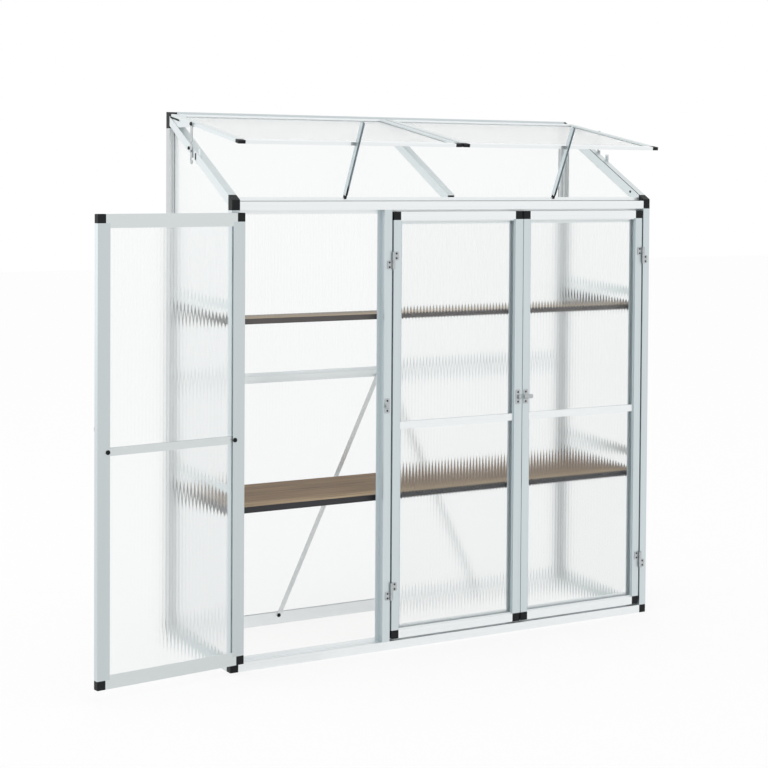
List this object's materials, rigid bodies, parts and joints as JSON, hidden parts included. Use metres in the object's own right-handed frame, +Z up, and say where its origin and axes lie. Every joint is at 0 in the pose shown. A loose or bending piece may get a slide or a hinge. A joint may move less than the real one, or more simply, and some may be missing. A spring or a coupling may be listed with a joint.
{
  "type": "lean-to greenhouse",
  "caption": "Lean-to greenhouse cabinet of aluminium tube and translucent twin-wall sheet, with hinged front doors, inner shelves and sloping roof vents propped open.",
  "frame": {"origin": "Middle of the rear sill's underside, on the ground.", "axes": "X to the right as seen from the front, Y to the rear, towards the wall it leans on, Z up."},
  "size_m": [1.9424, 0.5518, 1.611],
  "materials": {
    "aluminium": "satin mill aluminium",
    "twin_wall_sheet": "translucent ribbed twin-wall polycarbonate",
    "black_plastic": "moulded black plastic",
    "black_metal": "black painted angle",
    "shelf_board": "brown planks",
    "fittings": "bright zinc-plated steel"
  },
  "bodies": {
    "frame": {"base_connectors": "black_plastic", "eave_connectors": "black_plastic", "eave_rail": "aluminium", "frame_hinges": "fittings", "front_mullion": "aluminium", "front_posts": "aluminium", "front_sill": "aluminium", "lower_shelf": "shelf_board", "mullion_keeper": "fittings", "rafters": "aluminium", "rear_braces": "aluminium", "rear_mid_rail": "aluminium", "rear_panels": "twin_wall_sheet", "rear_posts": "aluminium", "rear_sill": "aluminium", "ridge_connectors": "black_plastic", "ridge_rail": "aluminium", "shelf_bearers": "black_metal", "side_panels": "twin_wall_sheet", "side_rails": "aluminium", "side_sills": "aluminium", "upper_shelf": "shelf_board", "vent_corners": "black_plastic", "vent_panels": "twin_wall_sheet", "vent_prop_brackets": "fittings", "vent_prop_feet": "black_plastic", "vent_props": "aluminium", "vent_rails": "aluminium", "vent_stay_pins": "fittings", "vent_stays": "fittings", "vent_stiles": "aluminium"},
    "left_door": {"left_door_corners": "black_plastic", "left_door_hinges": "fittings", "left_door_latch": "fittings", "left_door_panes": "twin_wall_sheet", "left_door_rails": "aluminium", "left_door_stiles": "aluminium"},
    "middle_door": {"middle_door_corners": "black_plastic", "middle_door_hinges": "fittings", "middle_door_keeper": "fittings", "middle_door_panes": "twin_wall_sheet", "middle_door_rails": "aluminium", "middle_door_stiles": "aluminium"},
    "right_door": {"right_door_corners": "black_plastic", "right_door_hinges": "fittings", "right_door_latch": "fittings", "right_door_panes": "twin_wall_sheet", "right_door_rails": "aluminium", "right_door_stiles": "aluminium"}
  },
  "joints": [
    {"name": "left_door_hinge", "type": "hinge", "parent": "frame", "child": "left_door", "pos_m": [-0.722, -0.458, 0.031], "axis": [0, 0, -1], "range_deg": [-173.5, 1.5]},
    {"name": "middle_door_hinge", "type": "hinge", "parent": "frame", "child": "middle_door", "pos_m": [-0.22, -0.458, 0.031], "axis": [0, 0, -1], "range_deg": [0, 170]},
    {"name": "right_door_hinge", "type": "hinge", "parent": "frame", "child": "right_door", "pos_m": [0.722, -0.458, 0.031], "axis": [0, 0, 1], "range_deg": [0, 170]}
  ]
}
